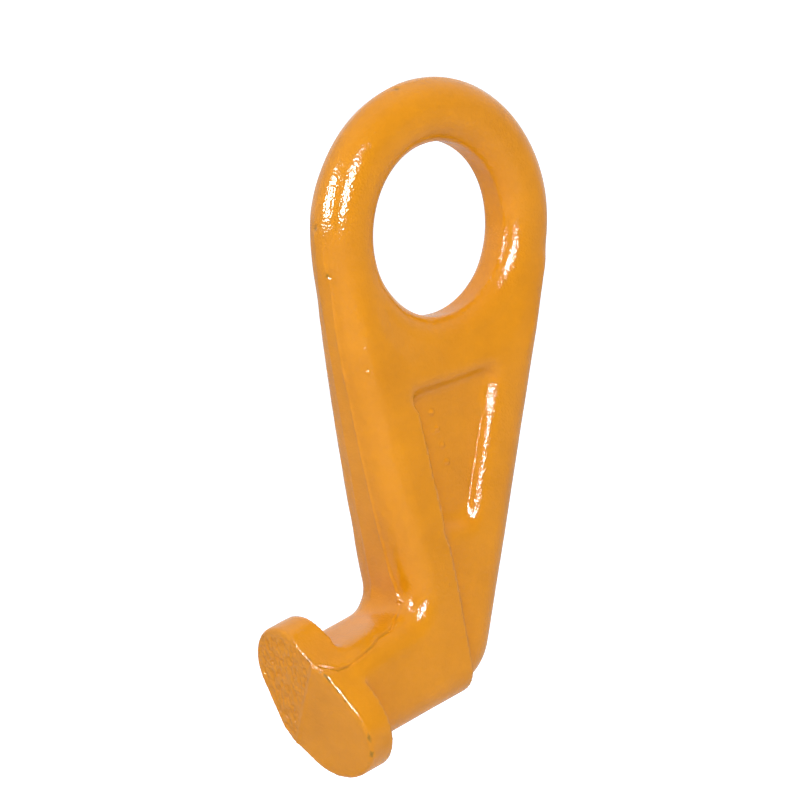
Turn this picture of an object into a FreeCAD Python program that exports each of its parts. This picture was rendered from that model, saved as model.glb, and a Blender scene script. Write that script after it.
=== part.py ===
# Container lifting hook with a turned T-head, for the side opening of a container corner fitting.
# One drop forging: a pierced eye, a plate with a round edge bar and a shallow pocket on each face,
# a deep rib that bends into a square neck, and a two-facet head turned about the neck.
# Millimetres. The origin is the centre of the eye, its bore runs along Y, and +Z is up.
import FreeCAD, Part
import math
import os
import Sketcher

NODE = "forged_hook"

# Driving dimensions: cell alias, value, note.
SIZES = [
    ("eye_bore_radius", 33.0, "pierced hole, radius"),
    ("ring_width", 23.7, "eye bar, hole to outside"),
    ("ring_depth", 21.5, "eye bar, front to back"),
    ("land_width", 9.0, "straight part of the pierced hole"),
    ("dish_slope", 14.0, "degrees, faces round the lower half of the hole"),
    ("right_edge_lean", 12.0, "degrees, edge bar from vertical"),
    ("plate_depth", 27.6, "plate and edge bar, front to back"),
    ("rib_wall_drop", 46.0, "rib wall starts this far below the eye centre"),
    ("edge_round", 13.0, "rounded right edge and heel"),
    ("heel_radius", 22.5, "outside bend of the edge bar"),
    ("pocket_depth", 4.2, "each pocket, below the plate"),
    ("pocket_drop", 58.9, "upper pocket corner below the eye centre"),
    ("pocket_side", 20.3, "upper pocket corner left of the eye centre"),
    ("pocket_top_rise", 11.4, "degrees, upper pocket edge from level"),
    ("pocket_foot_drop", 113.0, "lower pocket edge below the eye centre"),
    ("pocket_margin", 21.6, "right edge of the plate to the pocket"),
    ("pocket_corner", 5.0, "pocket corners, radius"),
    ("pocket_draft", 38.0, "degrees, pocket walls from square"),
    ("pocket_rim_round", 2.9, "rim of the pockets"),
    ("left_edge_lean", 12.5, "degrees, outer edge of the rib at the eye"),
    ("rib_wall_lean", 13.3, "degrees, inner wall of the rib from vertical"),
    ("rib_foot_width", 19.5, "rib just above the crook"),
    ("rib_depth", 39.0, "rib and neck, front to back"),
    ("rib_full_drop", 130.0, "below the eye centre the rib has its full depth"),
    ("draft_blend", 300.0, "draft of the rib runs out square on this radius"),
    ("rib_round", 10.2, "rounded outer edges of the rib and upper neck"),
    ("crook_radius", 8.0, "inside bend between rib and neck"),
    ("neck_drop", 156.0, "neck axis below the eye centre"),
    ("neck_lean", 18.5, "degrees, neck axis below level"),
    ("neck_height", 40.5, "neck, top to bottom"),
    ("neck_length", 50.5, "along the neck axis, to the back of the head"),
    ("neck_round", 12.0, "rounded lower edges of the neck"),
    ("head_twist", 53.0, "degrees, head turned about the neck axis"),
    ("head_rise", 3.2, "head centre above the neck axis"),
    ("head_upper_length", 31.0, "ridge to the tip of the upper lobe"),
    ("head_lower_length", 34.5, "ridge to the tip of the lower lobe"),
    ("head_ridge_half", 20.3, "half the width of the head at its ridge"),
    ("head_upper_taper", 14.0, "degrees, each side of the upper lobe"),
    ("head_lower_taper", 6.0, "degrees, each side of the lower lobe"),
    ("head_thickness", 15.5, "head at the ridge"),
    ("head_face_slope", 7.0, "degrees, each end facet from square"),
    ("head_ridge_skew", 18.0, "degrees, ridge from square to the long axis"),
    ("head_rim_round", 1.6, "rim of the head"),
]

doc = FreeCAD.newDocument("container_hook")
sheet = doc.addObject("Spreadsheet::Sheet", "sizes")
for row, (alias, value, note) in enumerate(SIZES, start=1):
    sheet.set("A%d" % row, alias)
    sheet.set("B%d" % row, str(value))
    sheet.set("C%d" % row, note)
    sheet.setAlias("B%d" % row, alias)
doc.recompute()

size = {alias: float(getattr(sheet, alias)) for alias, value, note in SIZES}

body = doc.addObject("PartDesign::Body", NODE)
body.Label = NODE


def vec(x, y, z=0.0):
    return FreeCAD.Vector(x, y, z)


def turn(degrees):
    """Unit vector in a sketch, anticlockwise from its first axis."""
    return vec(math.cos(math.radians(degrees)), math.sin(math.radians(degrees)))


def origin_plane(role):
    return [item for item in body.Origin.OriginFeatures if item.Role == role][0]


def place(feature, support, base=(), axis=None, angle=None):
    """Lay a sketch or datum plane on its support, shifted and turned by sheet formulas."""
    feature.AttachmentSupport = (support, "")
    feature.MapMode = "FlatFace"
    if axis is not None:
        feature.AttachmentOffset = FreeCAD.Placement(vec(0, 0), FreeCAD.Rotation(axis, 1))
        feature.setExpression("AttachmentOffset.Rotation.Angle", angle)
    for letter, formula in base:
        feature.setExpression("AttachmentOffset.Base.%s" % letter, formula)


def add_sketch(name, support, **offset):
    sketch = body.newObject("Sketcher::SketchObject", name)
    place(sketch, support, **offset)
    return sketch


def line(sketch, start, end, construction=False):
    return sketch.addGeometry(Part.LineSegment(start, end), construction)


def arc(sketch, centre, radius, first, last):
    """Anticlockwise arc between two points on it."""
    circle = Part.Circle(centre, vec(0, 0, 1), radius)
    ends = [math.atan2(point.y - centre.y, point.x - centre.x) for point in (first, last)]
    if ends[1] < ends[0]:
        ends[1] += 2 * math.pi
    return sketch.addGeometry(Part.ArcOfCircle(circle, *ends), False)


def tie(sketch, kind, *refs):
    return sketch.addConstraint(Sketcher.Constraint(kind, *refs))


def drive(sketch, kind, refs, value, formula):
    """One dimension of a sketch, driven by the sheet."""
    number = tie(sketch, kind, *refs, value)
    sketch.setExpression("Constraints[%d]" % number, formula)


def chain(sketch, ends):
    """Join curve ends in order: each item is two (curve, end) pairs."""
    for first, second in ends:
        tie(sketch, "Coincident", *first, *second)


START, END, CENTRE = range(1, 4)
ACROSS, UPWARD = range(-1, -3, -1)
ORIGIN = (ACROSS, START)
DEG = " * 1 deg"

front_plane = origin_plane("XZ_Plane")
side_plane = origin_plane("YZ_Plane")
level_plane = origin_plane("XY_Plane")

ring_outer = size["eye_bore_radius"] + size["ring_width"]
ring_outer_formula = "(sizes.eye_bore_radius + sizes.ring_width)"


def pin(sketch, ref, point, across, upward):
    """Hold a point at two sheet formulas from the origin."""
    drive(sketch, "DistanceX", (*ORIGIN, *ref), point.x, across)
    drive(sketch, "DistanceY", (*ORIGIN, *ref), point.y, upward)


def finish(feature, cuts=None):
    """Recompute and check a feature; a cut has to leave less than the feature it is cut from."""
    doc.recompute()
    if "Invalid" in feature.State or "Error" in feature.State:
        raise RuntimeError("%s failed: %s" % (feature.Name, feature.State))
    if feature.Shape.isNull() or not feature.Shape.isValid():
        raise RuntimeError("%s has no valid shape" % feature.Name)
    if cuts is not None and feature.Shape.Volume > cuts.Shape.Volume - 1.0:
        raise RuntimeError("%s removed nothing" % feature.Name)
    return feature


# Plate: below the eye, with the right edge and the heel in one outline.
right_lean = size["right_edge_lean"]
neck_lean = size["neck_lean"]
along_neck = turn(180 + neck_lean)
above_neck = turn(90 + neck_lean)
neck_start = vec(0, -size["neck_drop"])
half_neck = size["neck_height"] / 2
under_neck = neck_start - above_neck * half_neck
down_right_edge = turn(-90 - right_lean)
right_tangent = turn(-right_lean) * ring_outer


def crossing(first, first_way, second, second_way):
    """Point where two lines of a sketch meet."""
    gap = second - first
    across = first_way.x * second_way.y - first_way.y * second_way.x
    return first + first_way * ((gap.x * second_way.y - gap.y * second_way.x) / across)


def neck_axis(sketch):
    """Construction line along the neck axis; returns its number."""
    axis = line(sketch, neck_start, neck_start + along_neck * size["neck_length"], True)
    pin(sketch, (axis, START), neck_start, "0", "-sizes.neck_drop")
    drive(sketch, "Distance", (axis,), size["neck_length"], "sizes.neck_length")
    drive(sketch, "Angle", (axis,), math.radians(neck_lean - 180),
          "sizes.neck_lean * 1 deg - 180 deg")
    return axis


plate_outline = add_sketch("plate_outline", front_plane)
heel_corner = crossing(right_tangent, down_right_edge, under_neck, along_neck)
heel_turn = math.radians(90 - right_lean - neck_lean)
heel_run = size["heel_radius"] * math.tan(heel_turn / 2)
heel_top = heel_corner - down_right_edge * heel_run
heel_foot = heel_corner + along_neck * heel_run
heel_centre = heel_top + turn(180 - right_lean) * size["heel_radius"]
plate_foot = under_neck + along_neck * (half_neck / 2)
left_inner = turn(180 + size["left_edge_lean"]) * (ring_outer - size["ring_width"] / 2)
axis = neck_axis(plate_outline)
edge = line(plate_outline, right_tangent, heel_top)
heel = arc(plate_outline, heel_centre, size["heel_radius"], heel_foot, heel_top)
foot = line(plate_outline, heel_foot, plate_foot)
inner = line(plate_outline, plate_foot, left_inner)
top = line(plate_outline, left_inner, right_tangent)
chain(plate_outline, [((foot, END), (inner, START)), ((inner, END), (top, START)),
                      ((top, END), (edge, START))])
tie(plate_outline, "Tangent", edge, END, heel, END)
tie(plate_outline, "Tangent", heel, START, foot, START)
tie(plate_outline, "Parallel", foot, axis)
pin(plate_outline, (edge, START), right_tangent,
    ring_outer_formula + " * cos(sizes.right_edge_lean * 1 deg)",
    "-" + ring_outer_formula + " * sin(sizes.right_edge_lean * 1 deg)")
drive(plate_outline, "Angle", (edge,), math.radians(-90 - right_lean),
      "-90 deg - sizes.right_edge_lean * 1 deg")
drive(plate_outline, "Radius", (heel,), size["heel_radius"], "sizes.heel_radius")
drive(plate_outline, "Distance", (foot, END, axis), half_neck, "sizes.neck_height / 2")
drive(plate_outline, "DistanceX", (*ORIGIN, foot, END), plate_foot.x, "-sizes.neck_height / 8")
middle_formula = "(sizes.eye_bore_radius + sizes.ring_width / 2)"
pin(plate_outline, (top, START), left_inner,
    "-" + middle_formula + " * cos(sizes.left_edge_lean * 1 deg)",
    "-" + middle_formula + " * sin(sizes.left_edge_lean * 1 deg)")

plate = body.newObject("PartDesign::Pad", "plate")
plate.Profile = plate_outline
plate.SideType = "Symmetric"
plate.setExpression("Length", "sizes.plate_depth")
finish(plate)


def edges_where(shape, test):
    """Names of the edges whose two ends and middle all pass a test."""
    names = []
    for number, item in enumerate(shape.Edges, start=1):
        first, last = item.ParameterRange
        points = [item.valueAt(first + (last - first) * share) for share in (0.02, 0.5, 0.98)]
        if all(test(point) for point in points):
            names.append("Edge%d" % number)
    return names


def round_edges(name, base, names, formula):
    """Fillet on the named edges of a feature."""
    fillet = body.newObject("PartDesign::Fillet", name)
    fillet.Base = (base, names)
    fillet.Refine = False
    fillet.setExpression("Radius", formula)
    return finish(fillet)


def beyond(point, start, way):
    """Distance of a solid's point to the left of a line drawn in the XZ plane."""
    return way.x * (point.z - start.y) - way.y * (point.x - start.x)


# Edge bar: the right edge and the heel are rounded until they are almost a half circle.
half_plate = size["plate_depth"] / 2


def on_right_edge(point):
    near_line = abs(beyond(point, right_tangent, down_right_edge)) < 0.1 and point.z > heel_top.y - 0.1
    return abs(abs(point.y) - half_plate) < 0.01 and near_line


round_edges("edge_bar", plate, edges_where(plate.Shape, on_right_edge),
            "min(sizes.edge_round; sizes.plate_depth * 0.48)")

# Pockets: shallow, with drafted walls, one on each face beside the rib.
wall_lean = size["rib_wall_lean"]
down_wall = turn(-90 + wall_lean)
pocket_top_left = vec(-size["pocket_side"], -size["pocket_drop"])
pocket_top_way = turn(size["pocket_top_rise"])
margin_start = right_tangent + turn(180 - right_lean) * size["pocket_margin"]
hidden_start = pocket_top_left + turn(180 + wall_lean) * size["pocket_depth"]
pocket_foot = vec(0, -size["pocket_foot_drop"])

corners = [
    crossing(hidden_start, down_wall, pocket_top_left, pocket_top_way),
    crossing(hidden_start, down_wall, pocket_foot, vec(1, 0)),
    crossing(margin_start, down_right_edge, pocket_foot, vec(1, 0)),
    crossing(margin_start, down_right_edge, pocket_top_left, pocket_top_way),
]


def wall_line_in(sketch):
    """Construction line down the rib wall; returns its number."""
    wall = line(sketch, pocket_top_left, pocket_top_left + down_wall * half_plate, True)
    pin(sketch, (wall, START), pocket_top_left, "-sizes.pocket_side", "-sizes.pocket_drop")
    drive(sketch, "Angle", (wall,), math.radians(-90 + wall_lean),
          "sizes.rib_wall_lean * 1 deg - 90 deg")
    drive(sketch, "Distance", (wall,), half_plate, "sizes.plate_depth / 2")
    return wall


def right_line_in(sketch):
    """Construction line down the right edge of the plate; returns its number."""
    right = line(sketch, right_tangent, right_tangent + down_right_edge * half_plate, True)
    pin(sketch, (right, START), right_tangent,
        ring_outer_formula + " * cos(sizes.right_edge_lean * 1 deg)",
        "-" + ring_outer_formula + " * sin(sizes.right_edge_lean * 1 deg)")
    drive(sketch, "Angle", (right,), math.radians(-90 - right_lean),
          "-90 deg - sizes.right_edge_lean * 1 deg")
    drive(sketch, "Distance", (right,), half_plate, "sizes.plate_depth / 2")
    return right


def corner_arc(sketch, corner, first_way, second_way):
    """Rounded corner of a pocket between the line that ends there and the one that starts there."""
    half_turn = first_way.getAngle(second_way) / 2
    run = size["pocket_corner"] * math.tan(half_turn)
    first = corner - first_way * run
    last = corner + second_way * run
    centre = first + vec(-first_way.y, first_way.x) * size["pocket_corner"]
    return first, last, arc(sketch, centre, size["pocket_corner"], first, last)


def add_pocket(name, lift, reverse):
    """One drafted pocket; its left wall lies under the rib."""
    sketch = add_sketch(name + "_outline", front_plane, base=[("z", lift)])
    low_way = vec(1, 0)
    low_end, bar_start, low_corner = corner_arc(sketch, corners[2], low_way, -down_right_edge)
    bar_end, high_start, high_corner = corner_arc(sketch, corners[3], -down_right_edge, -pocket_top_way)
    wall_side = line(sketch, corners[0], corners[1])
    low = line(sketch, corners[1], low_end)
    bar_side = line(sketch, bar_start, bar_end)
    high = line(sketch, high_start, corners[0])
    chain(sketch, [((wall_side, END), (low, START)), ((high, END), (wall_side, START))])
    for first, first_end, second, second_end in (
            (low, END, low_corner, START), (low_corner, END, bar_side, START),
            (bar_side, END, high_corner, START), (high_corner, END, high, START)):
        tie(sketch, "Tangent", first, first_end, second, second_end)
    wall = wall_line_in(sketch)
    right = right_line_in(sketch)
    tie(sketch, "Parallel", wall_side, wall)
    tie(sketch, "Parallel", bar_side, right)
    tie(sketch, "Horizontal", low)
    tie(sketch, "PointOnObject", wall, START, high)
    tie(sketch, "Equal", low_corner, high_corner)
    drive(sketch, "Radius", (low_corner,), size["pocket_corner"], "sizes.pocket_corner")
    drive(sketch, "Distance", (wall, START, wall_side), size["pocket_depth"], "sizes.pocket_depth")
    drive(sketch, "Distance", (right, START, bar_side), size["pocket_margin"], "sizes.pocket_margin")
    drive(sketch, "DistanceY", (*ORIGIN, low, START), pocket_foot.y, "-sizes.pocket_foot_drop")
    drive(sketch, "Angle", (ACROSS, high), math.radians(180 + size["pocket_top_rise"]),
          "180 deg + sizes.pocket_top_rise * 1 deg")
    pocket = body.newObject("PartDesign::Pocket", name)
    pocket.Profile = sketch
    pocket.Reversed = reverse
    pocket.setExpression("Length", "sizes.pocket_depth")
    pocket.setExpression("TaperAngle", "-sizes.pocket_draft * 1 deg")
    return finish(pocket, cuts=body.Tip.BaseFeature)


add_pocket("front_pocket", "sizes.plate_depth / 2", False)
back_pocket = add_pocket("back_pocket", "-sizes.plate_depth / 2", True)


def on_pocket_rim(point):
    right_of_wall = beyond(point, pocket_top_left, down_wall) > -size["pocket_depth"] * 0.9
    inside = beyond(point, margin_start, down_right_edge) < 0.1
    low = point.z > pocket_foot.y - 0.1
    high = beyond(point, pocket_top_left, pocket_top_way) < 0.1
    return abs(abs(point.y) - half_plate) < 0.01 and right_of_wall and inside and low and high


rim_names = edges_where(back_pocket.Shape, on_pocket_rim)
round_edges("pocket_rim", back_pocket, rim_names, "sizes.pocket_rim_round")

# Rib and neck: the deep bar down the left side, the crook and the square neck, in one outline.
top_of_neck = neck_start + above_neck * half_neck
neck_end = neck_start + along_neck * size["neck_length"]
left_top = turn(180 + size["left_edge_lean"]) * ring_outer
wall_top = pocket_top_left - down_wall * ((size["rib_wall_drop"] + pocket_top_left.y) / down_wall.y)
wall_foot = crossing(pocket_top_left, down_wall, under_neck, along_neck)
crook_lean = wall_lean + 2.5
rib_way = turn(-90 + crook_lean)
rib_across = turn(crook_lean)
crook_turn = math.radians(90 - neck_lean + crook_lean)
crook_corner = crossing(wall_top - turn(wall_lean) * size["rib_foot_width"], rib_way,
                        top_of_neck, along_neck)
crook_run = size["crook_radius"] * math.tan(crook_turn / 2)
rib_foot = crook_corner - rib_way * crook_run
neck_top_start = crook_corner + along_neck * crook_run
crook_centre = rib_foot - rib_across * size["crook_radius"]
chord = rib_foot - left_top
bow = math.atan2(chord.x, -chord.y) - math.radians(size["left_edge_lean"])
left_radius = chord.Length / (2 * math.sin(bow))
left_centre = left_top + turn(size["left_edge_lean"]) * left_radius

rib_outline = add_sketch("rib_outline", front_plane)
axis = neck_axis(rib_outline)
spoke = line(rib_outline, vec(0, 0), left_top, True)
wall_guide = wall_line_in(rib_outline)
left = arc(rib_outline, left_centre, left_radius, left_top, rib_foot)
crook = arc(rib_outline, crook_centre, size["crook_radius"], neck_top_start, rib_foot)
neck_top = line(rib_outline, neck_top_start, neck_end + above_neck * half_neck)
neck_face = line(rib_outline, neck_end + above_neck * half_neck, neck_end - above_neck * half_neck)
neck_bottom = line(rib_outline, neck_end - above_neck * half_neck, wall_foot)
wall = line(rib_outline, wall_foot, wall_top)
inner_top = line(rib_outline, wall_top, left_inner)
end_top = line(rib_outline, left_inner, left_top)
chain(rib_outline, [
    ((neck_top, END), (neck_face, START)), ((neck_face, END), (neck_bottom, START)),
    ((neck_bottom, END), (wall, START)), ((wall, END), (inner_top, START)),
    ((inner_top, END), (end_top, START)), ((end_top, END), (left, START)),
    ((spoke, START), ORIGIN), ((spoke, END), (left, START)),
])
tie(rib_outline, "Tangent", left, END, crook, END)
tie(rib_outline, "Tangent", crook, START, neck_top, START)
tie(rib_outline, "PointOnObject", left, CENTRE, spoke)
tie(rib_outline, "PointOnObject", end_top, START, spoke)
drive(rib_outline, "Distance", (end_top,), size["ring_width"] / 2, "sizes.ring_width / 2")
drive(rib_outline, "Distance", (spoke,), ring_outer, ring_outer_formula)
drive(rib_outline, "Angle", (spoke,), math.radians(180 + size["left_edge_lean"]),
      "180 deg + sizes.left_edge_lean * 1 deg")
drive(rib_outline, "Radius", (crook,), size["crook_radius"], "sizes.crook_radius")
drive(rib_outline, "Distance", (left, END, wall_guide), size["rib_foot_width"], "sizes.rib_foot_width")
tie(rib_outline, "Parallel", neck_top, axis)
tie(rib_outline, "Parallel", neck_bottom, axis)
tie(rib_outline, "Perpendicular", neck_face, axis)
tie(rib_outline, "PointOnObject", axis, END, neck_face)
drive(rib_outline, "Distance", (axis, END, neck_top), half_neck, "sizes.neck_height / 2")
drive(rib_outline, "Distance", (axis, END, neck_bottom), half_neck, "sizes.neck_height / 2")
tie(rib_outline, "PointOnObject", wall_guide, START, wall)
tie(rib_outline, "Parallel", wall, wall_guide)
drive(rib_outline, "DistanceY", (*ORIGIN, wall, END), wall_top.y, "-sizes.rib_wall_drop")

rib = body.newObject("PartDesign::Pad", "rib_and_neck")
rib.Profile = rib_outline
rib.SideType = "Symmetric"
rib.setExpression("Length", "sizes.rib_depth * 1.1")
finish(rib)

# Draft of the forging: both faces widen from the eye to the foot of the rib, then run square.
left_top_drop = -left_top.y
drop_formula = ring_outer_formula + " * sin(sizes.left_edge_lean * 1 deg)"
half_eye = size["ring_depth"] / 2
half_rib = size["rib_depth"] / 2
draft_way = (vec(half_rib, -size["rib_full_drop"]) - vec(half_eye, -left_top_drop)).normalize()
draft_run = size["draft_blend"] * math.tan(vec(0, -1).getAngle(draft_way) / 2)
draft_outline = add_sketch("draft_outline", side_plane)
for side in (1, -1):
    start = vec(side * half_eye, -left_top_drop)
    knee = vec(side * half_rib, -size["rib_full_drop"])
    slope_end = vec(knee.x - side * draft_way.x * draft_run, knee.y - draft_way.y * draft_run)
    drop_start = vec(knee.x, knee.y - draft_run)
    blend_centre = vec(knee.x - side * size["draft_blend"], drop_start.y)
    clear = side * size["rib_depth"]
    low = -size["neck_drop"] * 2
    slope = line(draft_outline, start, slope_end)
    if side > 0:
        blend = arc(draft_outline, blend_centre, size["draft_blend"], drop_start, slope_end)
        slope_side, drop_side = END, START
    else:
        blend = arc(draft_outline, blend_centre, size["draft_blend"], slope_end, drop_start)
        slope_side, drop_side = START, END
    drop = line(draft_outline, drop_start, vec(knee.x, low))
    under = line(draft_outline, vec(knee.x, low), vec(clear, low))
    outside = line(draft_outline, vec(clear, low), vec(clear, 0))
    over = line(draft_outline, vec(clear, 0), vec(start.x, 0))
    rise = line(draft_outline, vec(start.x, 0), start)
    chain(draft_outline, [
        ((drop, END), (under, START)), ((under, END), (outside, START)),
        ((outside, END), (over, START)), ((over, END), (rise, START)),
        ((rise, END), (slope, START)),
    ])
    tie(draft_outline, "Tangent", slope, END, blend, slope_side)
    tie(draft_outline, "Tangent", blend, drop_side, drop, START)
    tie(draft_outline, "Vertical", drop)
    tie(draft_outline, "Vertical", rise)
    tie(draft_outline, "Vertical", outside)
    tie(draft_outline, "Horizontal", under)
    tie(draft_outline, "Horizontal", over)
    tie(draft_outline, "PointOnObject", over, END, ACROSS)
    sign = "" if side > 0 else "-"
    pin(draft_outline, (slope, START), start, sign + "sizes.ring_depth / 2", "-" + drop_formula)
    pin(draft_outline, (outside, START), vec(clear, low), sign + "sizes.rib_depth",
        "-sizes.neck_drop * 2")
    drive(draft_outline, "DistanceX", (*ORIGIN, drop, START), knee.x, sign + "sizes.rib_depth / 2")
    drive(draft_outline, "Radius", (blend,), size["draft_blend"], "sizes.draft_blend")
    knee_point = draft_outline.addGeometry(Part.Point(knee), True)
    pin(draft_outline, (knee_point, START), knee, sign + "sizes.rib_depth / 2", "-sizes.rib_full_drop")
    tie(draft_outline, "PointOnObject", knee_point, START, slope)

draft = body.newObject("PartDesign::Pocket", "forging_draft")
draft.Profile = draft_outline
draft.SideType = "Symmetric"
draft.Type = "ThroughAll"
finish(draft, cuts=rib)

# Rounded edges of the rib, the crook and the neck.
left_circle = rib_outline.Geometry[left]
crook_circle = rib_outline.Geometry[crook]


def on_circle(point, circle):
    from_centre = math.hypot(point.x - circle.Center.x, point.z - circle.Center.y)
    return abs(from_centre - circle.Radius) < 0.05


def on_rib_edge(point):
    outer = abs(point.y) > half_eye - 0.5
    near_left = on_circle(point, left_circle) and point.z < left_top.y + 0.1
    near_crook = on_circle(point, crook_circle) and abs(point.y) > half_rib - 0.1
    near_top = abs(beyond(point, top_of_neck, along_neck)) < 0.05 and abs(point.y) > half_rib - 0.1
    return outer and (near_left or near_crook or near_top)


def on_neck_edge(point):
    return abs(beyond(point, under_neck, along_neck)) < 0.05 and abs(point.y) > half_rib - 0.1


rib_edges = round_edges("rib_edges", draft, edges_where(draft.Shape, on_rib_edge), "sizes.rib_round")
round_edges("neck_edges", rib_edges, edges_where(rib_edges.Shape, on_neck_edge), "sizes.neck_round")

# Eye: a round blank, then pierced and dished from both faces.
blank_outline = add_sketch("eye_outline", level_plane)
bar_centre = vec(ring_outer - half_eye, 0)
low_side = line(blank_outline, vec(0, -half_eye), vec(bar_centre.x, -half_eye))
rim = arc(blank_outline, bar_centre, half_eye, vec(bar_centre.x, -half_eye), vec(bar_centre.x, half_eye))
high_side = line(blank_outline, vec(bar_centre.x, half_eye), vec(0, half_eye))
on_axis = line(blank_outline, vec(0, half_eye), vec(0, -half_eye))
chain(blank_outline, [((high_side, END), (on_axis, START)), ((on_axis, END), (low_side, START))])
tie(blank_outline, "Tangent", low_side, END, rim, START)
tie(blank_outline, "Tangent", rim, END, high_side, START)
tie(blank_outline, "Horizontal", low_side)
tie(blank_outline, "Horizontal", high_side)
tie(blank_outline, "PointOnObject", rim, CENTRE, ACROSS)
tie(blank_outline, "PointOnObject", on_axis, START, UPWARD)
tie(blank_outline, "Vertical", on_axis)
drive(blank_outline, "Radius", (rim,), half_eye, "sizes.ring_depth / 2")
drive(blank_outline, "DistanceX", (*ORIGIN, rim, CENTRE), bar_centre.x,
      ring_outer_formula + " - sizes.ring_depth / 2")
blank = body.newObject("PartDesign::Revolution", "eye_blank")
blank.Profile = blank_outline
blank.ReferenceAxis = (blank_outline, ["V_Axis"])
blank.Angle = 360
finish(blank)

pierced_outline = add_sketch("pierced_outline", level_plane)
bore = size["eye_bore_radius"]
half_land = size["land_width"] / 2
lip_centre = bore + math.sqrt(half_eye ** 2 - half_land ** 2)
reach = size["rib_depth"]
dish_far = lip_centre + (reach - half_eye) / math.tan(math.radians(size["dish_slope"]))
land = line(pierced_outline, vec(bore, -half_land), vec(bore, half_land))
lip_foot = vec(lip_centre, 0)
high_lip = arc(pierced_outline, lip_foot, half_eye, vec(lip_centre, half_eye), vec(bore, half_land))
high_dish = line(pierced_outline, vec(lip_centre, half_eye), vec(dish_far, reach))
high_end = line(pierced_outline, vec(dish_far, reach), vec(0, reach))
bore_axis = line(pierced_outline, vec(0, reach), vec(0, -reach))
low_end = line(pierced_outline, vec(0, -reach), vec(dish_far, -reach))
low_dish = line(pierced_outline, vec(dish_far, -reach), vec(lip_centre, -half_eye))
low_lip = arc(pierced_outline, lip_foot, half_eye, vec(bore, -half_land), vec(lip_centre, -half_eye))
chain(pierced_outline, [
    ((land, END), (high_lip, END)), ((high_lip, START), (high_dish, START)),
    ((high_dish, END), (high_end, START)), ((high_end, END), (bore_axis, START)),
    ((bore_axis, END), (low_end, START)), ((low_end, END), (low_dish, START)),
    ((low_dish, END), (low_lip, END)), ((low_lip, START), (land, START)),
])
tie(pierced_outline, "Symmetric", land, START, land, END, ACROSS)
tie(pierced_outline, "Symmetric", high_dish, END, low_dish, START, ACROSS)
tie(pierced_outline, "Vertical", bore_axis)
tie(pierced_outline, "PointOnObject", bore_axis, START, UPWARD)
tie(pierced_outline, "Horizontal", high_end)
tie(pierced_outline, "Horizontal", low_end)
tie(pierced_outline, "PointOnObject", high_lip, CENTRE, ACROSS)
tie(pierced_outline, "PointOnObject", low_lip, CENTRE, ACROSS)
tie(pierced_outline, "Vertical", high_lip, CENTRE, high_lip, START)
tie(pierced_outline, "Vertical", low_lip, CENTRE, low_lip, END)
drive(pierced_outline, "DistanceX", (*ORIGIN, land, START), bore, "sizes.eye_bore_radius")
drive(pierced_outline, "DistanceY", (land, START, land, END), size["land_width"], "sizes.land_width")
drive(pierced_outline, "Radius", (high_lip,), half_eye, "sizes.ring_depth / 2")
drive(pierced_outline, "Radius", (low_lip,), half_eye, "sizes.ring_depth / 2")
drive(pierced_outline, "DistanceY", (*ORIGIN, bore_axis, START), reach, "sizes.rib_depth")
drive(pierced_outline, "Angle", (high_dish,), math.radians(size["dish_slope"]), "sizes.dish_slope * 1 deg")
pierced = body.newObject("PartDesign::Groove", "eye_pierced")
pierced.Profile = pierced_outline
pierced.ReferenceAxis = (pierced_outline, ["V_Axis"])
pierced.Angle = 360
finish(pierced, cuts=blank)

# Head: a round-ended bar across the end of the neck, turned about it, with two facets and a ridge.
neck_frame = body.newObject("PartDesign::Plane", "neck_frame")
place(neck_frame, level_plane, base=[("z", "-sizes.neck_drop")], axis=vec(0, 1, 0),
      angle="-(90 + sizes.neck_lean) * 1 deg")
head_frame = body.newObject("PartDesign::Plane", "head_frame")
place(head_frame, neck_frame, base=[("x", "sizes.head_rise"), ("z", "sizes.neck_length")],
      axis=vec(0, 0, 1), angle="-sizes.head_twist * 1 deg")
ridge_frame = body.newObject("PartDesign::Plane", "ridge_frame")
place(ridge_frame, head_frame, axis=vec(0, 0, 1), angle="sizes.head_ridge_skew * 1 deg")
roof_frame = body.newObject("PartDesign::Plane", "roof_frame")
place(roof_frame, ridge_frame, axis=vec(0, 1, 0), angle="90 deg")
doc.recompute()

ridge_half = size["head_ridge_half"]
head_outline = add_sketch("head_outline", head_frame)


def add_lobe(name, side):
    """One lobe beyond the ridge: two tapered sides and a round tip, running anticlockwise."""
    taper = math.radians(size["head_%s_taper" % name])
    length = size["head_%s_length" % name]
    tip_radius = (ridge_half * math.cos(taper) - length * math.sin(taper)) / (1 - math.sin(taper))
    centre = vec(0, side * (length - tip_radius))
    reach = vec(tip_radius * math.cos(taper), tip_radius * math.sin(taper) * side)
    first_end = centre + vec(side * reach.x, reach.y)
    last_start = centre + vec(-side * reach.x, reach.y)
    first = line(head_outline, vec(side * ridge_half, 0), first_end)
    tip = arc(head_outline, centre, tip_radius, first_end, last_start)
    last = line(head_outline, last_start, vec(-side * ridge_half, 0))
    tie(head_outline, "Tangent", first, END, tip, START)
    tie(head_outline, "Tangent", tip, END, last, START)
    tie(head_outline, "PointOnObject", tip, CENTRE, UPWARD)
    tie(head_outline, "PointOnObject", first, START, ACROSS)
    top = head_outline.addGeometry(Part.Point(vec(0, side * length)), True)
    tie(head_outline, "PointOnObject", top, START, UPWARD)
    tie(head_outline, "PointOnObject", top, START, tip)
    sign = "" if side > 0 else "-"
    drive(head_outline, "DistanceY", (*ORIGIN, top, START), side * length,
          "%ssizes.head_%s_length" % (sign, name))
    drive(head_outline, "Angle", (first,), math.radians(side * 90) + taper,
          "%s90 deg + sizes.head_%s_taper * 1 deg" % (sign, name))
    drive(head_outline, "DistanceX", (*ORIGIN, first, START), side * ridge_half,
          sign + "sizes.head_ridge_half")
    return first, last


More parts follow.
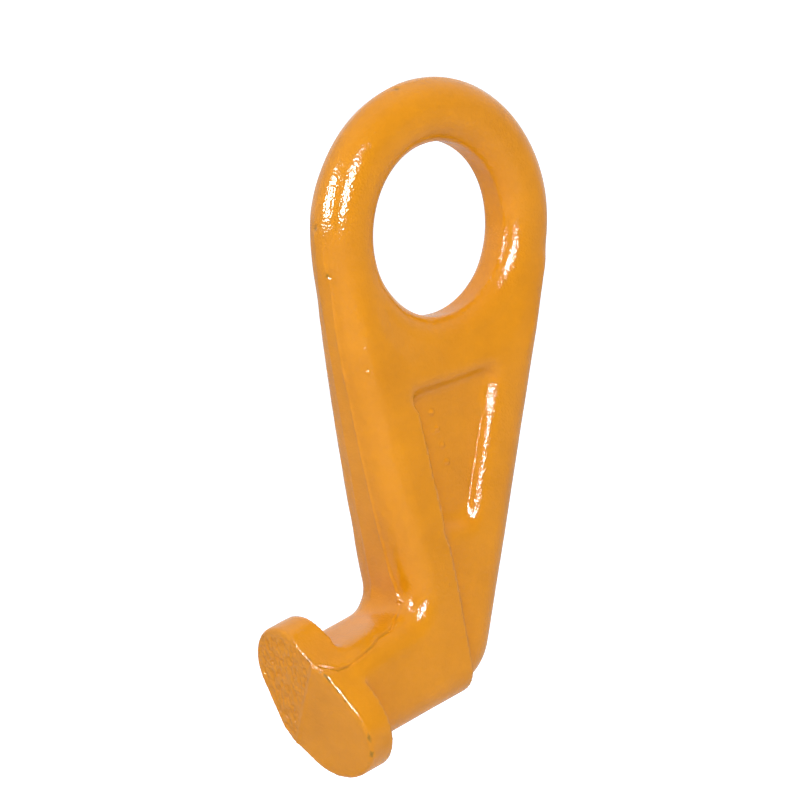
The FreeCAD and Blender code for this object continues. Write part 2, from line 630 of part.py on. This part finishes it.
upper_first, upper_last = add_lobe("upper", 1)
lower_first, lower_last = add_lobe("lower", -1)
chain(head_outline, [((upper_last, END), (lower_first, START)), ((lower_last, END), (upper_first, START))])
head = body.newObject("PartDesign::Pad", "head")
head.Profile = head_outline
head.setExpression("Length", "sizes.head_thickness")
finish(head)

thickness = size["head_thickness"]
spread = size["head_upper_length"] + size["head_lower_length"]
fall = spread * math.tan(math.radians(size["head_face_slope"]))
roof_outline = add_sketch("roof_outline", roof_frame)
corner_points = [vec(-thickness, 0), vec(fall - thickness, spread), vec(-2 * thickness, spread),
                 vec(-2 * thickness, -spread), vec(fall - thickness, -spread)]
far_facet, far_side, outer_side, near_side, near_facet = [
    line(roof_outline, corner_points[number], corner_points[(number + 1) % 5]) for number in range(5)]
chain(roof_outline, [
    ((far_facet, END), (far_side, START)), ((far_side, END), (outer_side, START)),
    ((outer_side, END), (near_side, START)), ((near_side, END), (near_facet, START)),
    ((near_facet, END), (far_facet, START)),
])
tie(roof_outline, "Horizontal", far_side)
tie(roof_outline, "Vertical", outer_side)
tie(roof_outline, "Horizontal", near_side)
tie(roof_outline, "PointOnObject", far_facet, START, ACROSS)
tie(roof_outline, "Symmetric", far_facet, END, near_facet, START, ACROSS)
drive(roof_outline, "DistanceX", (*ORIGIN, far_facet, START), -thickness, "-sizes.head_thickness")
drive(roof_outline, "DistanceX", (*ORIGIN, outer_side, START), -2 * thickness,
      "-2 * sizes.head_thickness")
drive(roof_outline, "DistanceY", (*ORIGIN, far_side, START), spread,
      "sizes.head_upper_length + sizes.head_lower_length")
drive(roof_outline, "Angle", (ACROSS, far_facet), math.radians(90 - size["head_face_slope"]),
      "(90 - sizes.head_face_slope) * 1 deg")
roof = body.newObject("PartDesign::Pocket", "head_facets")
roof.Profile = roof_outline
roof.SideType = "Symmetric"
roof.Type = "ThroughAll"
finish(roof, cuts=head)


def on_facet_rim(point):
    """True on the outer rim of the two facets, false on the ridge between them."""
    local = ridge_frame.Placement.inverse().multVec(point)
    off_ridge = abs(local.y)
    height = thickness - off_ridge * math.tan(math.radians(size["head_face_slope"]))
    return abs(local.z - height) < 0.05 and off_ridge > 0.05


rim_edges = edges_where(roof.Shape, on_facet_rim)
round_edges("head_rim", roof, rim_edges, "sizes.head_rim_round")
if len(body.Shape.Solids) != 1:
    raise RuntimeError("the forging isn't one solid")

os.makedirs("parts", exist_ok=True)
body.Shape.exportStep("parts/%s.step" % NODE)
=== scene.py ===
import math
import bpy
import numpy as np
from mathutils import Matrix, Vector, noise


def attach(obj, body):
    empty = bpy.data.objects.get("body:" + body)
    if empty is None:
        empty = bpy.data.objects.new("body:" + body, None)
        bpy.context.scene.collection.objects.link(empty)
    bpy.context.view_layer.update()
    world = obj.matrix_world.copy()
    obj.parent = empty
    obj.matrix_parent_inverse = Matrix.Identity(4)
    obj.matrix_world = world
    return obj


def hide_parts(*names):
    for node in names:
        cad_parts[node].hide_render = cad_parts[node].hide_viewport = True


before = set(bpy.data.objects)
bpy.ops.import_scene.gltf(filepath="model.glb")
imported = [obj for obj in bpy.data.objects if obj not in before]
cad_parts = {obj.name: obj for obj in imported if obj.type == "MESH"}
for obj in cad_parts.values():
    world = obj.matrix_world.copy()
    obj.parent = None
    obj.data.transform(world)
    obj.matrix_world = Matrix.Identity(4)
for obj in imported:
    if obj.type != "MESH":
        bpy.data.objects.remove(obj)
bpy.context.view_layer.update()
mm = 0.001
print("frame loaded")


def deselectAll():
    if bpy.context.object and bpy.context.object.mode != "OBJECT":
        bpy.ops.object.mode_set(mode="OBJECT")
    bpy.ops.object.select_all(action="DESELECT")


def pickOnly(piece):
    deselectAll()
    bpy.context.view_layer.objects.active = piece
    piece.select_set(True)


def linear(hexCode):
    # sRGB hex to the linear colour that a shader takes
    parts = [int(hexCode[start:start + 2], 16) / 255 for start in (1, 3, 5)]
    lit = [part / 12.92 if part <= 0.04045 else ((part + 0.055) / 1.055) ** 2.4 for part in parts]
    return lit + [1.0]


def addNode(tree, kind, settings=None, inputs=None):
    # one node with its settings; an input is a value, or a (node, output) pair that is linked
    node = tree.nodes.new(kind)
    for name, value in (settings or {}).items():
        setattr(node, name, value)
    for name, value in (inputs or {}).items():
        if isinstance(value, tuple) and hasattr(value[0], "outputs"):
            tree.links.new(value[0].outputs[value[1]], node.inputs[name])
        else:
            node.inputs[name].default_value = value
    return node


def emptyTree(owner):
    # the node tree of a material or of the world, with nothing in it yet
    owner.use_nodes = True
    owner.node_tree.nodes.clear()
    return owner.node_tree


def outwardTo(azimuth, rise):
    # direction out from the hook: degrees round from the front, left is minus, and degrees up
    turned, raised = math.radians(azimuth), math.radians(rise)
    return Vector((math.sin(turned) * math.cos(raised),
                   -math.cos(turned) * math.cos(raised), math.sin(raised)))


photoView = {
    "azimuth": -42.2,
    "elevation": 6.0,
    "distance": 3.5,
    "across": 0.3,              # metres that the picture spans at the object
    "aim": (-12.7 * mm, 2.5 * mm, -64.1 * mm),
    "sensor": 36.0,             # millimetres
    "clipEnd": 50.0,
}


def addCamera():
    data = bpy.data.cameras.new("photoCamera")
    data.sensor_width = photoView["sensor"]
    data.lens = photoView["sensor"] * photoView["distance"] / photoView["across"]
    data.clip_end = photoView["clipEnd"]
    camera = bpy.data.objects.new("photoCamera", data)
    bpy.context.scene.collection.objects.link(camera)
    back = outwardTo(photoView["azimuth"], photoView["elevation"])
    camera.location = Vector(photoView["aim"]) + back * photoView["distance"]
    camera.rotation_euler = (-back).to_track_quat("-Z", "Y").to_euler()
    bpy.context.scene.camera = camera


addCamera()
print("camera placed")

# Forged skin: a merged copy of the solid, remeshed finely and then worked like the real surface.
# Lengths, places and heights are in millimetres, and a pair is where a blend starts and ends.
# Each noise has a shift of its own, so that no two of them line up.
forgedSkin = {
    "mergeGap": 0.005,
    "gridDepth": 8,             # about 1 mm cells over the hook's height
    "gridScale": 0.99,
    "smoothing": 0.5,
    "evenPasses": 2,            # paint rounds every edge a little
    "softPasses": 70,           # melts the corners that a forging die leaves round
    "softSpread": (0.6, 1.3),   # shares of a soft spot's radius
    "leastWeight": 0.01,
    "fineReach": 2.2,           # the mesh is halved this near to a fine line
    "finestReach": 1.2,         # and halved again this near to the flash line
    "boreRadius": (34, 40),     # waves and grain leave the eye's bore true
    "boreHalfWidth": 11,
    "wave": {"rise": 0.16, "length": 17.0},
    "grain": {"rise": 0.03, "length": 4.5, "shift": 7.3},
    "trimRise": 0.4,            # flash that the trimming press left standing
    # a ragged burr along the trimmed band's front edge, and a weaker one along its back edge
    "burr": {"rise": 0.45, "width": 0.6, "backShare": 0.3, "backWidth": 0.75,
             "base": 0.6, "ragged": 0.8, "length": 6.0, "shift": 3.1},
    "flank": {"facing": (0.35, 0.75), "foot": (-141, -138)},
    "flankFall": {"depth": 0.35, "across": (0, 4), "down": (10, 25)},
    # the flash line over the neck is a groove with a soft lip above it
    "groove": {"depth": 0.5, "width": 0.5, "base": 0.8, "ragged": 0.5, "length": 5.0,
               "shift": 1.7},
    "lip": {"rise": 0.3, "away": 0.9, "width": 0.7},
}

# Where the forging is melted together: two ends (y counts both ways), radius and strength.
softSpots = [
    ((-56, 6, -12), (-38, 12, -12), 16, 1.0),
    ((57, 4, -12), (40, 12, -12), 16, 1.0),
    ((58, 0, -10), (54, 8, -16), 20, 1.0),
    ((-52.8, 16.9, -155.9), (-48, 17, -150), 10, 1.0),
    ((-22, 14, -58), (26, 14, -46), 8, 1.0),
    ((27.5, 16, -48), (14, 16, -108), 5.5, 1.0),
    ((24, 14, -50), (24, 14, -60), 12, 1.0),
    ((-6, 11, -113), (14, 11, -113), 7, 1.0),
    ((-27, 12, -140), (-40, 16, -150), 9, 0.7),
]

# Trimmed flash: its front edge down the rib, its line over the neck, and its back edge.
flashFront = [
    (-53.7, -4.1, -15.9), (-49.7, -3.4, -36), (-45.4, -3.6, -53.8), (-42.2, -4, -66.4),
    (-35.5, -4.3, -90.8), (-31.1, -4.4, -106.2), (-27.6, -5.1, -117.7), (-24.8, -5.3, -127),
    (-22.4, -6.6, -135), (-22.7, -8.5, -138.6),
]
flashNeck = [
    (-22.7, -8.5, -138.6), (-26.2, -10.6, -143.3), (-33.2, -14.8, -147.6), (-39.1, -15, -149.7),
    (-43.5, -16.5, -152.5), (-50.8, -17.3, -156.3), (-55.5, -16.5, -159), (-60.5, -16, -160.1),
    (-66.5, -12.5, -158.5),
]
flashBack = [
    (-54, 2.9, -16.4), (-50.1, 2.7, -34.2), (-47.2, 2.7, -46.7), (-35.4, 4.7, -91.2),
    (-31.4, 5.9, -105.2), (-28, 6.2, -116.4), (-23.8, 7, -130.1), (-22.4, 8.5, -137.5),
    (-25.8, 7.6, -142.8),
]
# the lip's lower edge: the neck's line up to the head, and then straight on
lipEdge = flashNeck[:7] + [(-66.5, -12.5, -160.0)]

# The band itself goes on from the rib round the ring and down the plate's right edge.
trimmedBand = {
    "ringBlend": (-24, -4),
    "ringFront": -3.0,
    "ringBack": 2.2,
    "ringShare": 0.5,           # how much weaker it is round the ring
    "ringFloor": -12,           # a point above this height is on the ring
    "ringRadius": (46, 50),
    "rightTop": -10,
    "rightFront": -3.0,
    "rightBack": 2.4,
    "rightFoot": (-196, -186),
    "leftFoot": (-141, -137),
    "facing": (0.55, 0.8),
    "edge": (-0.5, 0.5),
    "reach": 10,
}

# Pips and nicks: place, radius and height. A nick's height is minus.
blemishes = [
    ((-41.6, -11.5, -50.9), 0.7, 0.3),
    ((-56.4, 1.3, 3.2), 1.2, -0.5),
    ((-54.3, -3.1, -14.5), 1.0, -0.4),
    ((-18.5, -2.0, 53.3), 1.3, -0.5),
    ((-43.6, -4.4, 40.2), 1.0, 0.35),
]

# Plain raised dots on the pocket's floor, on the front face alone: x and z of the first.
heatDots = {"first": (-7.5, -68.0), "step": (2.6, -6.4), "count": 4, "radius": 1.4,
            "rise": 0.6, "flatTop": 0.5, "facing": -0.7}

# The turned head's outer face: a beaded ridge between a pitted upper and a plain lower facet.
headFace = {
    "outward": Vector((-0.948, 0, -0.317)),
    "ridgeTop": Vector((-68.1, -10, -160)),
    "ridgeAlong": Vector((0.27, 0.528, -0.804)),
    "ridgeLength": 36,
    "inner": -54,               # x and z that the face lies beyond
    "ceiling": -150,
    "fineFacing": 0.7,
    "facing": (0.75, 0.92),
    "pitEdge": (-2.5, -0.5),
    "pits": {"rise": 1.1, "length": 1.5, "stretch": (1, 0.8, 2.0), "shift": 5.2,
             "fineShare": 0.5, "fineLength": 1.1, "fineShift": 9.4, "top": 0.15, "level": 0.1},
    "wave": {"rise": 0.1, "length": 6.0, "shift": 2.2},
    "bead": {"rise": 0.35, "width": 0.8},
}

# Worn paint along the head's rim and on the nicks, and painted shade: the neck's flash-line groove
# darkened brown as if in shadow.
paintWear = {
    "rim": {"share": 0.75, "inner": -52, "facing": (0.25, 0.5), "turned": (0.8, 0.93),
            "length": 3.2, "shift": 4.4, "fineShare": 0.5, "fineLength": 1.2, "fineShift": 8.8,
            "broken": (0.1, 0.5)},
    "nick": {"share": 0.7, "tightness": 1.3},
    # the line's share is painted shade: a brown line that darkens the flash-line groove over the
    # neck
    "line": {"share": 0.4, "width": 0.45, "length": 8.0, "shift": 6.1, "broken": (-0.4, 0.1)},
}


def smoothStep(value, low, high):
    share = min(max((value - low) / (high - low), 0.0), 1.0)
    return share * share * (3 - 2 * share)


def ease(values, low, high):
    # smoothStep over an array
    share = np.clip((values - low) / (high - low), 0, 1)
    return share * share * (3 - 2 * share)


def bell(gap, width):
    # 1 on a line and falling off beside it
    return np.exp(-(gap / width) ** 2)


def noiseAt(places, length, stretch=(1, 1, 1), shift=0.0):
    grid = places / length / np.array(stretch) + shift
    return np.array([noise.noise(Vector(spot)) for spot in grid])


def lineGap(places, line):
    # distance from every point to a broken line
    best = np.full(len(places), 1e6)
    for first, last in zip(line[:-1], line[1:]):
        start, run = np.array(first, float), np.array(last, float) - np.array(first, float)
        share = np.clip((places - start) @ run / (run @ run), 0, 1)
        best = np.minimum(best, np.linalg.norm(places - start - share[:, None] * run, axis=1))
    return best


def spotGap(places, spot):
    return np.linalg.norm(places - np.array(spot), axis=1)


def readPoints(piece):
    # vertex places in millimetres and their normals
    mesh = piece.data
    places = np.empty(len(mesh.vertices) * 3)
    mesh.vertices.foreach_get("co", places)
    normals = np.empty(len(mesh.vertices) * 3)
    mesh.vertex_normals.foreach_get("vector", normals)
    return places.reshape(-1, 3) / mm, normals.reshape(-1, 3)


def applyModifier(piece, kind, name, **settings):
    modifier = piece.modifiers.new(name, kind)
    for key, value in settings.items():
        setattr(modifier, key, value)
    pickOnly(piece)
    bpy.ops.object.modifier_apply(modifier=name)


def spotWeight(point):
    place = Vector((point.x, abs(point.y), point.z)) / mm
    full, end = forgedSkin["softSpread"]
    best = 0.0
    for first, last, radius, strength in softSpots:
        start, run = Vector(first), Vector(last) - Vector(first)
        share = min(max((place - start).dot(run) / run.length_squared, 0.0), 1.0)
        gap = (place - start - run * share).length
        best = max(best, strength * (1.0 - smoothStep(gap, radius * full, radius * end)))
    return best


def makeSkin():
    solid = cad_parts["forged_hook"]
    skin = bpy.data.objects.new("enamelledForging", solid.data.copy())
    bpy.context.scene.collection.objects.link(skin)
    skin.data.materials.clear()
    pickOnly(skin)
    bpy.ops.object.mode_set(mode="EDIT")
    bpy.ops.mesh.select_all(action="SELECT")
    bpy.ops.mesh.remove_doubles(threshold=forgedSkin["mergeGap"] * mm)
    bpy.ops.object.mode_set(mode="OBJECT")
    applyModifier(skin, "REMESH", "fineGrid", mode="SHARP", octree_depth=forgedSkin["gridDepth"],
                  scale=forgedSkin["gridScale"], use_remove_disconnected=False)
    applyModifier(skin, "SMOOTH", "evenOut", factor=forgedSkin["smoothing"],
                  iterations=forgedSkin["evenPasses"])
    spots = skin.vertex_groups.new(name="softSpots")
    for vertex in skin.data.vertices:
        weight = spotWeight(vertex.co)
        if weight > forgedSkin["leastWeight"]:
            spots.add([vertex.index], weight, "REPLACE")
    applyModifier(skin, "SMOOTH", "meltCorners", factor=forgedSkin["smoothing"],
                  iterations=forgedSkin["softPasses"], vertex_group="softSpots")
    skin.vertex_groups.clear()
    return skin


def dotPlaces():
    first, step = heatDots["first"], heatDots["step"]
    return [(first[0] + step[0] * turn, first[1] + step[1] * turn)
            for turn in range(heatDots["count"])]


def headShare(places, inner):
    return (places[:, 0] < inner) & (places[:, 2] < headFace["ceiling"])


def halveFaces(skin, fine):
    for vertex in skin.data.vertices:
        vertex.select = False
    for edge in skin.data.edges:
        edge.select = False
    for face in skin.data.polygons:
        face.select = any(fine[corner] for corner in face.vertices)
        if face.select:
            for corner in face.vertices:
                skin.data.vertices[corner].select = True
    pickOnly(skin)
    bpy.ops.object.mode_set(mode="EDIT")
    bpy.ops.mesh.select_mode(type="FACE")
    bpy.ops.mesh.subdivide(number_cuts=1)
    bpy.ops.object.mode_set(mode="OBJECT")


def refineNearLines(skin):
    # the mesh is halved where a line, a nick or the head's face is finer than its cells
    places, normals = readPoints(skin)
    top = headFace["ridgeTop"]
    foot = top + headFace["ridgeAlong"] * headFace["ridgeLength"]
    near = np.minimum(lineGap(places, flashFront), lineGap(places, flashNeck))
    near = np.minimum(near, lineGap(places, flashBack))
    near = np.minimum(near, lineGap(places, [tuple(top), tuple(foot)]))
    for place, radius, height in blemishes:
        near = np.minimum(near, spotGap(places, place) - radius)
    for dotX, dotZ in dotPlaces():
        gap = np.hypot(places[:, 0] - dotX, places[:, 2] - dotZ)
        near = np.minimum(near, gap - heatDots["radius"])
    facing = normals @ np.array(headFace["outward"]) > headFace["fineFacing"]
    onFace = facing & headShare(places, headFace["inner"])
    halveFaces(skin, (near < forgedSkin["fineReach"]) | onFace)
    places = readPoints(skin)[0]
    near = np.minimum(lineGap(places, flashNeck), lineGap(places, flashFront))
    halveFaces(skin, near < forgedSkin["finestReach"])


def bandShare(places, normals):
    # how far each point is on the trimmed band, between its front and back edge
    x, y, z = places.T
    band = trimmedBand
    frontLine, backLine = np.array(flashFront), np.array(flashBack)
    frontY = np.interp(-z, -frontLine[:, 2], frontLine[:, 1])
    backY = np.interp(-z, -backLine[:, 2], backLine[:, 1])
    onRing = ease(z, *band["ringBlend"])
    frontY = frontY * (1 - onRing) + band["ringFront"] * onRing
    backY = backY * (1 - onRing) + band["ringBack"] * onRing
    rightSide = x > 0
    frontY = np.where(rightSide & (z < band["rightTop"]), band["rightFront"], frontY)
    backY = np.where(rightSide & (z < band["rightTop"]), band["rightBack"], backY)
    radius = np.hypot(x, z) + 1e-6
    isRing = z > band["ringFloor"]
    outward = np.where(isRing, (normals[:, 0] * x + normals[:, 2] * z) / radius,
                       normals[:, 0] * np.sign(x))
    outside = ease(outward, *band["facing"])
    outside = outside * np.where(isRing, ease(radius, *band["ringRadius"]), 1.0)
    level = ease(y - frontY, *band["edge"]) * ease(backY - y, *band["edge"])
    low = np.where(rightSide, ease(z, *band["rightFoot"]), ease(z, *band["leftFoot"]))
    share = np.where(np.abs(y) < band["reach"], outside * level * low, 0)
    return share * (1 - band["ringShare"] * onRing)


# Each of these adds to move, the millimetres by which every vertex goes out along its normal.
def addWaves(places, move):
    x, y, z = places.T
    wave, grain = forgedSkin["wave"], forgedSkin["grain"]
    outOfBore = ease(np.hypot(x, z), *forgedSkin["boreRadius"])
    outOfBore = np.clip(outOfBore + (np.abs(y) > forgedSkin["boreHalfWidth"]), 0, 1)
    move += wave["rise"] * noiseAt(places, wave["length"]) * outOfBore
    move += grain["rise"] * noiseAt(places, grain["length"], shift=grain["shift"]) * outOfBore


def addTrimming(places, normals, move):
    x, y, z = places.T
    burr, flank, fall = forgedSkin["burr"], forgedSkin["flank"], forgedSkin["flankFall"]
    move += forgedSkin["trimRise"] * bandShare(places, normals)
    ragged = burr["base"] + burr["ragged"] * noiseAt(places, burr["length"], shift=burr["shift"])
    onFlank = ease(-normals[:, 0], *flank["facing"]) * ease(z, *flank["foot"])
    front, back = lineGap(places, flashFront), lineGap(places, flashBack)
    move += burr["rise"] * ragged * onFlank * bell(front, burr["width"])
    backLine = np.array(flashBack)
    backEdge = np.interp(-z, -backLine[:, 2], backLine[:, 1])
    move -= fall["depth"] * onFlank * ease(y - backEdge, *fall["across"]) * ease(-z, *fall["down"])
    move += burr["backShare"] * burr["rise"] * ragged * onFlank * bell(back, burr["backWidth"])


def addFlashLine(places, neckGap, move):
    x, y, z = places.T
    groove, lip = forgedSkin["groove"], forgedSkin["lip"]
    ragged = noiseAt(places, groove["length"], shift=groove["shift"])
    move -= (groove["depth"] * bell(neckGap, groove["width"])
             * (groove["base"] + groove["ragged"] * ragged))
    edge = np.array(lipEdge)
    above = z > np.interp(-x, -edge[:, 0], edge[:, 2])
    move += lip["rise"] * bell(neckGap - lip["away"], lip["width"]) * above


def addMarks(places, normals, move):
    for place, radius, height in blemishes:
        move += height * bell(spotGap(places, place), radius)
    full, end = heatDots["radius"] * heatDots["flatTop"], heatDots["radius"]
    for dotX, dotZ in dotPlaces():
        gap = np.hypot(places[:, 0] - dotX, places[:, 2] - dotZ)
        move += heatDots["rise"] * (1 - ease(gap, full, end)) * (normals[:, 1] < heatDots["facing"])


def addHeadFace(places, normals, move):
    outward, along = np.array(headFace["outward"]), np.array(headFace["ridgeAlong"])
    pits, wave, bead = headFace["pits"], headFace["wave"], headFace["bead"]
    onFace = ease(normals @ outward, *headFace["facing"]) * headShare(places, headFace["inner"])
    side = (places - np.array(headFace["ridgeTop"])) @ np.cross(outward, along)
    pitted = onFace * (1 - ease(side, *headFace["pitEdge"]))
    depth = (noiseAt(places, pits["length"], pits["stretch"], pits["shift"])
             + pits["fineShare"] * noiseAt(places, pits["fineLength"], shift=pits["fineShift"]))
    move += pits["rise"] * pitted * (np.minimum(depth, pits["top"]) - pits["level"])
    move += wave["rise"] * onFace * noiseAt(places, wave["length"], shift=wave["shift"])
    move += bead["rise"] * onFace * bell(side, bead["width"])


def wearAndGrooveShadeShare(places, normals, neckGap):
    rim, nick, line = paintWear["rim"], paintWear["nick"], paintWear["line"]
    turned = normals @ np.array(headFace["outward"])
    onRim = ease(turned, *rim["facing"]) * (1 - ease(turned, *rim["turned"]))
    onRim = onRim * headShare(places, rim["inner"])
    broken = (noiseAt(places, rim["length"], shift=rim["shift"])
              + rim["fineShare"] * noiseAt(places, rim["fineLength"], shift=rim["fineShift"]))
    wearAndShade = rim["share"] * onRim * ease(broken, *rim["broken"])
    for place, radius, height in blemishes:
        if height < 0:
            gap = spotGap(places, place) * nick["tightness"]
            wearAndShade = np.maximum(wearAndShade, nick["share"] * bell(gap, radius))
    # painted shade: the neck's flash-line groove darkened along its length
    broken = ease(noiseAt(places, line["length"], shift=line["shift"]), *line["broken"])
    return np.maximum(wearAndShade, line["share"] * bell(neckGap, line["width"]) * broken)


def workSurface(skin):
    places, normals = readPoints(skin)
    neckGap = lineGap(places, flashNeck)
    move = np.zeros(len(places))
    addWaves(places, move)
    addTrimming(places, normals, move)
    addFlashLine(places, neckGap, move)
    addMarks(places, normals, move)
    addHeadFace(places, normals, move)
    moved = (places + normals * move[:, None]) * mm
    skin.data.vertices.foreach_set("co", moved.ravel())
    skin.data.update()
    # worn paint on the rim and nicks, and painted shade along the neck's groove, for the material
    # to read
    wearAndShade = wearAndGrooveShadeShare(places, normals, neckGap)
    layer = skin.data.attributes.new("paintWear", "FLOAT", "POINT")
    layer.data.foreach_set("value", np.clip(wearAndShade, 0, 1).astype(np.float32))


skin = makeSkin()
refineNearLines(skin)
workSurface(skin)
print("skin made,", len(skin.data.polygons), "faces")

# Sizes of the enamel's patterns on the real film, and depths of its bumps, in millimetres.
# The bumps are deeper than a real film's, so that its gleams break up at this distance.
enamel = {
    "thin": "#D8890E",
    "thick": "#E6940F",
    # the same brown also serves as painted shade in the neck's flash-line groove
    "wornAndShaded": "#86661A",          # dull brown of the blasted steel under thin paint
    "patchSize": 25.0,
    "peelSize": 1.0,
    "peelDepth": 0.2,
    "swellSize": 6.25,
    "swellDepth": 0.25,
}


def enamelMaterial():
    # Gloss alkyd enamel sprayed over a shot-blasted forging: a wet, slightly pebbled film.
    material = bpy.data.materials.new("glossEnamelOverForging")
    tree = emptyTree(material)
    place = addNode(tree, "ShaderNodeTexCoord")
    patches = addNode(tree, "ShaderNodeTexNoise", inputs={
        "Vector": (place, "Object"), "Scale": 1 / (enamel["patchSize"] * mm),
        "Detail": 7.0, "Roughness": 0.72})
    tint = addNode(tree, "ShaderNodeValToRGB", inputs={"Fac": (patches, "Fac")})
    for stop, position, film in zip(tint.color_ramp.elements, (0.3, 0.7), ("thin", "thick")):
        stop.position = position
        stop.color = linear(enamel[film])
    # worn paint on the rim and nicks, with painted shade in the neck's groove
    wornAndShaded = addNode(tree, "ShaderNodeAttribute", {"attribute_name": "paintWear"})
    colour = addNode(tree, "ShaderNodeMix", {"data_type": "RGBA"}, {
        "Factor": (wornAndShaded, "Fac"), 6: (tint, "Color"), 7: linear(enamel["wornAndShaded"])})
    peel = addNode(tree, "ShaderNodeTexNoise", inputs={
        "Vector": (place, "Object"), "Scale": 1 / (enamel["peelSize"] * mm),
        "Detail": 1.0, "Roughness": 0.5})
    swell = addNode(tree, "ShaderNodeTexNoise", inputs={
        "Vector": (place, "Object"), "Scale": 1 / (enamel["swellSize"] * mm),
        "Detail": 2.0, "Roughness": 0.5})
    peelBump = addNode(tree, "ShaderNodeBump", inputs={
        "Height": (peel, "Fac"), "Distance": enamel["peelDepth"] * mm, "Strength": 0.9})
    swellBump = addNode(tree, "ShaderNodeBump", inputs={
        "Height": (swell, "Fac"), "Distance": enamel["swellDepth"] * mm, "Strength": 0.6,
        "Normal": (peelBump, "Normal")})
    shader = addNode(tree, "ShaderNodeBsdfPrincipled", inputs={
        "Base Color": (colour, 2), "Roughness": 0.45, "IOR": 1.5, "Specular IOR Level": 0.0,
        "Normal": (swellBump, "Normal"), "Coat Weight": 0.8, "Coat Roughness": 0.1,
        "Coat IOR": 1.5, "Coat Normal": (swellBump, "Normal")})
    addNode(tree, "ShaderNodeOutputMaterial", inputs={"Surface": (shader, "BSDF")})
    return material


skin.data.materials.append(enamelMaterial())
pickOnly(skin)
bpy.ops.object.shade_smooth()
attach(skin, "root")
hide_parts("forged_hook")
print("enamel on")

studio = {
    "surround": 0.6,            # the world's level for the light that falls on the paint
    "room": 0.3,                # and what a gleam sees towards roomSide, where the camera stands
    "roomSide": (-0.1, -0.99, 0.1),
    "roomEdge": 0.75,
    "floorDrop": 0.29,          # the hook hangs clear of the floor
    "floorSize": 12.0,
    "floorLift": 0.6,           # white paper looks white to the camera, and still takes a shadow
    # name, azimuth and rise in degrees, distance, lift, width and height in metres, watts, and
    # whether it is there for the gleams alone or lights the paint without one
    "lamps": [
        ("softBox", -45.0, 34.0, 1.8, 0.0, 0.9, 0.9, 18.0, False),
        ("cameraStrip", -28.0, 0.0, 1.45, 0.55, 0.28, 0.8, 62.0, True),
        ("leftStrip", -88.0, 0.0, 1.45, 0.55, 0.28, 0.8, 52.0, True),
    ],
}


def addLamps():
    for name, azimuth, rise, distance, lift, width, height, watts, gleamOnly in studio["lamps"]:
        out = outwardTo(azimuth, rise)
        data = bpy.data.lights.new(name, "AREA")
        data.shape = "RECTANGLE"
        data.size = width
        data.size_y = height
        data.energy = watts
        lamp = bpy.data.objects.new(name, data)
        bpy.context.scene.collection.objects.link(lamp)
        lamp.location = out * distance + Vector((0, 0, lift))
        lamp.rotation_euler = (-out).to_track_quat("-Z", "Y").to_euler()
        lamp.visible_camera = False
        lamp.visible_diffuse = not gleamOnly
        lamp.visible_glossy = gleamOnly


def addSeen(tree):
    # the light path, and 1 for what the camera sees, straight or through glass
    path = addNode(tree, "ShaderNodeLightPath")
    seen = addNode(tree, "ShaderNodeMath", {"operation": "MAXIMUM"}, {
        0: (path, "Is Camera Ray"), 1: (path, "Is Transmission Ray")})
    return path, seen


def addWorld():
    # a gleam sees the white backdrop behind the hook, and the darker room in front of it
    world = bpy.data.worlds.new("whiteTent")
    bpy.context.scene.world = world
    tree = emptyTree(world)
    path, seen = addSeen(tree)
    view = addNode(tree, "ShaderNodeTexCoord")
    room = addNode(tree, "ShaderNodeVectorMath", {"operation": "DOT_PRODUCT"}, {
        0: (view, "Generated"), 1: studio["roomSide"]})
    gleam = addNode(tree, "ShaderNodeMapRange", inputs={
        "Value": (room, "Value"), "From Min": 0.0, "From Max": studio["roomEdge"],
        "To Min": 1.0, "To Max": studio["room"]})
    seenLevel = addNode(tree, "ShaderNodeMapRange", inputs={
        "Value": (seen, "Value"), "To Min": studio["surround"], "To Max": 1.0})
    level = addNode(tree, "ShaderNodeMix", {"data_type": "FLOAT"}, {
        0: (path, "Is Glossy Ray"), 2: (seenLevel, "Result"), 3: (gleam, "Result")})
    white = addNode(tree, "ShaderNodeBackground", inputs={
        "Color": linear("#FFFFFF"), "Strength": (level, 0)})
    addNode(tree, "ShaderNodeOutputWorld", inputs={"Surface": (white, "Background")})


def addFloor():
    # White paper: seen from under, it gives way, so that the hook's underside shows.
    deselectAll()
    bpy.ops.mesh.primitive_plane_add(size=studio["floorSize"],
                                     location=(0, 0, -studio["floorDrop"]))
    floor = bpy.context.object
    floor.name = "paleFloor"
    material = bpy.data.materials.new("palePaperFloor")
    tree = emptyTree(material)
    seen = addSeen(tree)[1]
    lift = addNode(tree, "ShaderNodeMath", {"operation": "MULTIPLY"}, {
        0: (seen, "Value"), 1: studio["floorLift"]})
    paper = addNode(tree, "ShaderNodeBsdfDiffuse", inputs={"Color": linear("#F6F6F6")})
    glow = addNode(tree, "ShaderNodeEmission", inputs={
        "Color": linear("#FFFFFF"), "Strength": (lift, "Value")})
    both = addNode(tree, "ShaderNodeAddShader", inputs={
        0: (paper, "BSDF"), 1: (glow, "Emission")})
    sheetSide = addNode(tree, "ShaderNodeNewGeometry")
    clear = addNode(tree, "ShaderNodeBsdfTransparent")
    oneSided = addNode(tree, "ShaderNodeMixShader", inputs={
        0: (sheetSide, "Backfacing"), 1: (both, "Shader"), 2: (clear, "BSDF")})
    addNode(tree, "ShaderNodeOutputMaterial", inputs={"Surface": (oneSided, "Shader")})
    floor.data.materials.append(material)


bpy.context.scene.view_settings.view_transform = "Standard"
addWorld()
addLamps()
addFloor()
print("studio lit")
